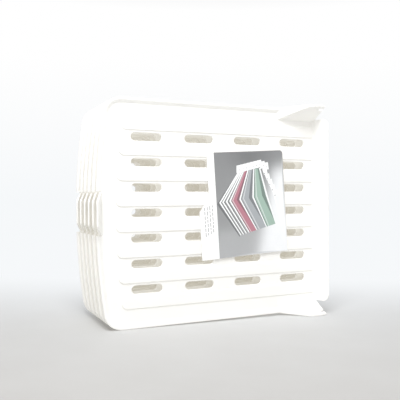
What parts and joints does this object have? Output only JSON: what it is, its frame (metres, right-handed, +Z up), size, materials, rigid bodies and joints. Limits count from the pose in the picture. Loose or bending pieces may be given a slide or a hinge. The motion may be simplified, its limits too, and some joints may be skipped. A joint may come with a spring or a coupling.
{
  "type": "folding tray stack",
  "caption": "Stack of shallow slotted plastic trays with a front lip, back wall and side ears, hinged along the back so that it opens like a book around folded shirts.",
  "frame": {"origin": "centre of the overall box, on the surface that the stack stands on", "axes": "+X from the trays' front lips to their back walls, +Y from the outermost tray's open face to the underside of the rearmost tray, +Z up along the trays' width; the stack stands on its long side, leaning 0.84 degrees because the ears are a little wider than the boards"},
  "size_m": [0.2902, 0.116, 0.2552],
  "materials": {
    "white_plastic": "satin white polypropylene",
    "printed_card": "coated card, printed",
    "glue": "clear removable glue"
  },
  "bodies": {
    "tray_1": {"tray_1": "white_plastic"},
    "tray_2": {"tray_2": "white_plastic"},
    "tray_3": {"tray_3": "white_plastic"},
    "tray_4": {"tray_4": "white_plastic"},
    "tray_5": {"tray_5": "white_plastic"},
    "tray_6": {"tray_6": "white_plastic", "display_card": "printed_card", "card_glue_dots": "glue"}
  },
  "joints": [
    {"name": "tray_2_hinge", "type": "hinge", "parent": "tray_1", "child": "tray_2", "pos_m": [0.13263, 0.0365, 0.12761], "axis": [-0.0147, 0, 0.9999], "range_deg": [0, 24]},
    {"name": "tray_3_hinge", "type": "hinge", "parent": "tray_2", "child": "tray_3", "pos_m": [0.13263, 0.0185, 0.12761], "axis": [-0.0147, 0, 0.9999], "range_deg": [0, 24]},
    {"name": "tray_4_hinge", "type": "hinge", "parent": "tray_3", "child": "tray_4", "pos_m": [0.13263, 0.0005, 0.12761], "axis": [-0.0147, 0, 0.9999], "range_deg": [0, 24]},
    {"name": "tray_5_hinge", "type": "hinge", "parent": "tray_4", "child": "tray_5", "pos_m": [0.13263, -0.0175, 0.12761], "axis": [-0.0147, 0, 0.9999], "range_deg": [0, 24]},
    {"name": "tray_6_hinge", "type": "hinge", "parent": "tray_5", "child": "tray_6", "pos_m": [0.13263, -0.0355, 0.12761], "axis": [-0.0147, 0, 0.9999], "range_deg": [0, 24]}
  ]
}
